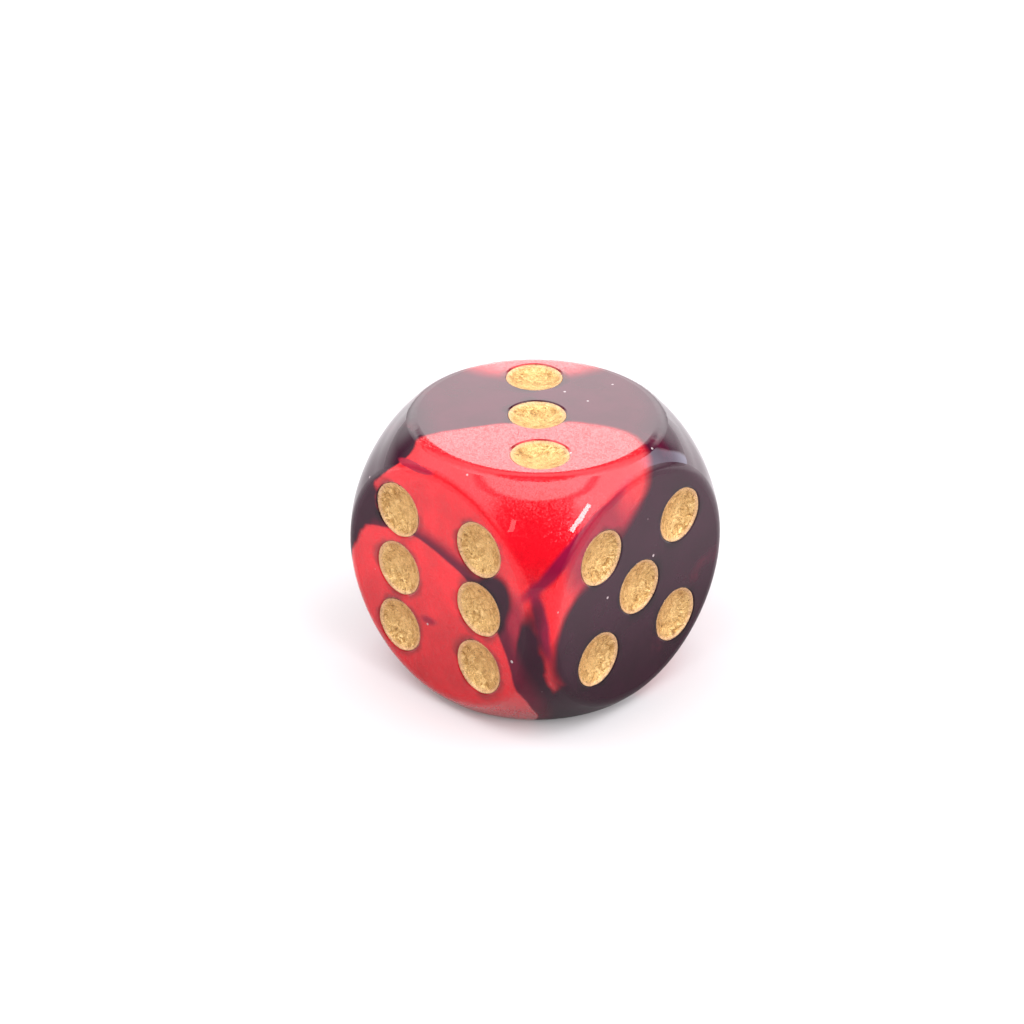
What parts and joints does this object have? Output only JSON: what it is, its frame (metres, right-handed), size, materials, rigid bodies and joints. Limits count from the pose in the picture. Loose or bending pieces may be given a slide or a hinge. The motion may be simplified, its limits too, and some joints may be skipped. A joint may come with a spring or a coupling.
{
  "type": "game die",
  "caption": "Six-sided game die with round flats, spherically rounded edges and corners, and a metallic paint coat in the dish of each pip.",
  "frame": {"origin": "centre of the body, halfway between each pair of opposite flats", "axes": "+Z out of the face with three pips, +X out of the face with five pips, -Y out of the face with six pips"},
  "size_m": [0.016, 0.016, 0.016],
  "materials": {
    "resin": "polished two-colour marbled resin, pearl red swirled with black",
    "pip_paint": "metallic gold paint, grainy satin"
  },
  "bodies": {
    "root": {"die_body": "resin", "pip_1_centre": "pip_paint", "pip_2_upper_left": "pip_paint", "pip_2_lower_right": "pip_paint", "pip_3_back_left": "pip_paint", "pip_3_front_right": "pip_paint", "pip_3_centre": "pip_paint", "pip_4_front_left": "pip_paint", "pip_4_back_right": "pip_paint", "pip_4_back_left": "pip_paint", "pip_4_front_right": "pip_paint", "pip_5_upper_left": "pip_paint", "pip_5_lower_right": "pip_paint", "pip_5_lower_left": "pip_paint", "pip_5_upper_right": "pip_paint", "pip_5_centre": "pip_paint", "pip_6_upper_left": "pip_paint", "pip_6_middle_left": "pip_paint", "pip_6_lower_left": "pip_paint", "pip_6_upper_right": "pip_paint", "pip_6_middle_right": "pip_paint", "pip_6_lower_right": "pip_paint"}
  },
  "joints": []
}
